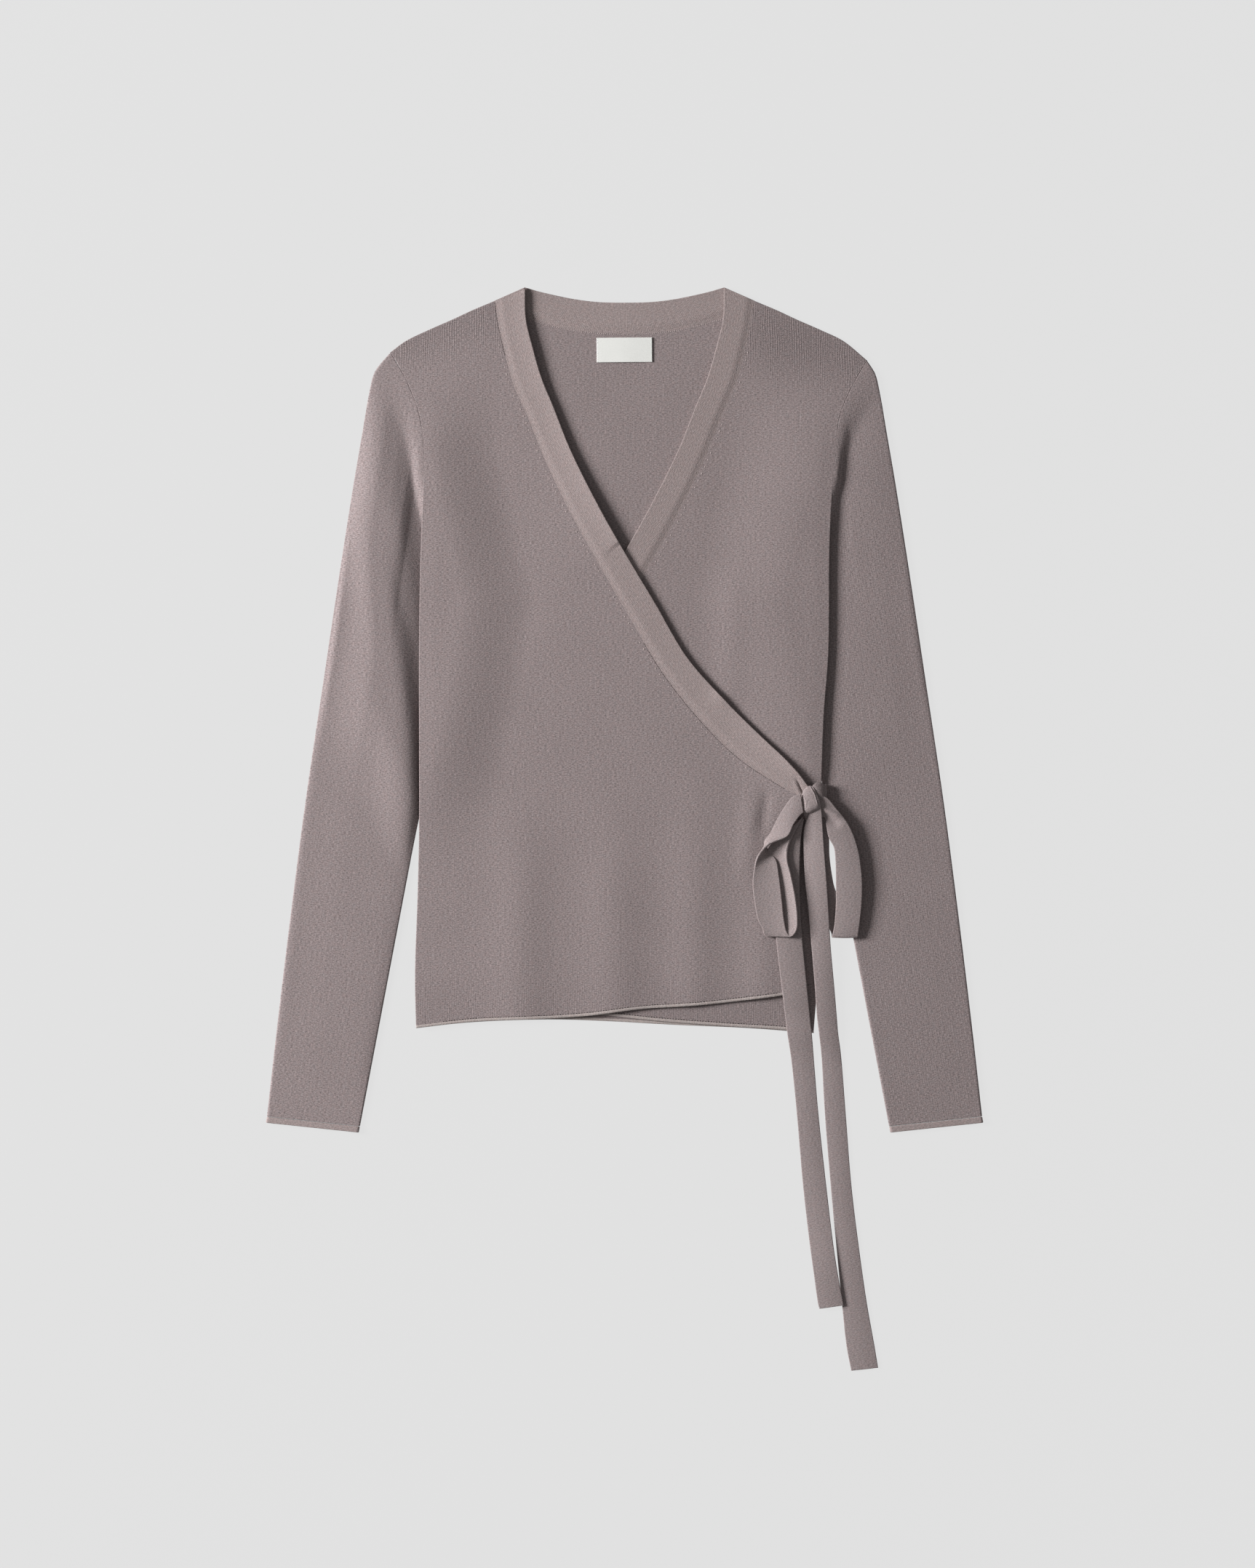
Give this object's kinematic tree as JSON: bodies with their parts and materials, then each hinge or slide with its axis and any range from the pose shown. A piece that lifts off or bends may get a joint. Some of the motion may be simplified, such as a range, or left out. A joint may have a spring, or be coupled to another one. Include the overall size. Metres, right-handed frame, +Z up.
{
  "type": "wrap cardigan",
  "caption": "Long-sleeved fine-knit wrap cardigan laid flat, with V neck, linked neck bands, rolled hems, a side bow with long tails and a bare neck label.",
  "frame": {"origin": "centre of the whole outline, on the surface that the garment lies on", "axes": "+X to the wearer's left, across the body; +Y to the neck; +Z up from the surface, out of the front"},
  "size_m": [0.5812, 0.8776, 0.0176],
  "materials": {
    "knit_body": "fine plain knit in heathered taupe yarn",
    "knit_band": "doubled fine knit band, linked to the panels",
    "knit_tie": "doubled knit strip",
    "woven_label": "bare woven tape, off-white"
  },
  "bodies": {
    "root": {"back": "knit_body", "front_right": "knit_body", "front_left": "knit_body", "sleeve_right": "knit_body", "sleeve_left": "knit_body", "band_front_right": "knit_band", "band_front_left": "knit_band", "band_back_neck": "knit_band", "hem_front_right": "knit_band", "hem_front_left": "knit_band", "hem_back": "knit_band", "cuff_right": "knit_band", "cuff_left": "knit_band", "neck_label": "woven_label", "tie_knot": "knit_tie", "bow_loop_inner": "knit_tie", "bow_loop_outer": "knit_tie", "tie_tail_long": "knit_tie", "tie_tail_short": "knit_tie", "tie_rear_strap": "knit_tie"}
  },
  "joints": []
}
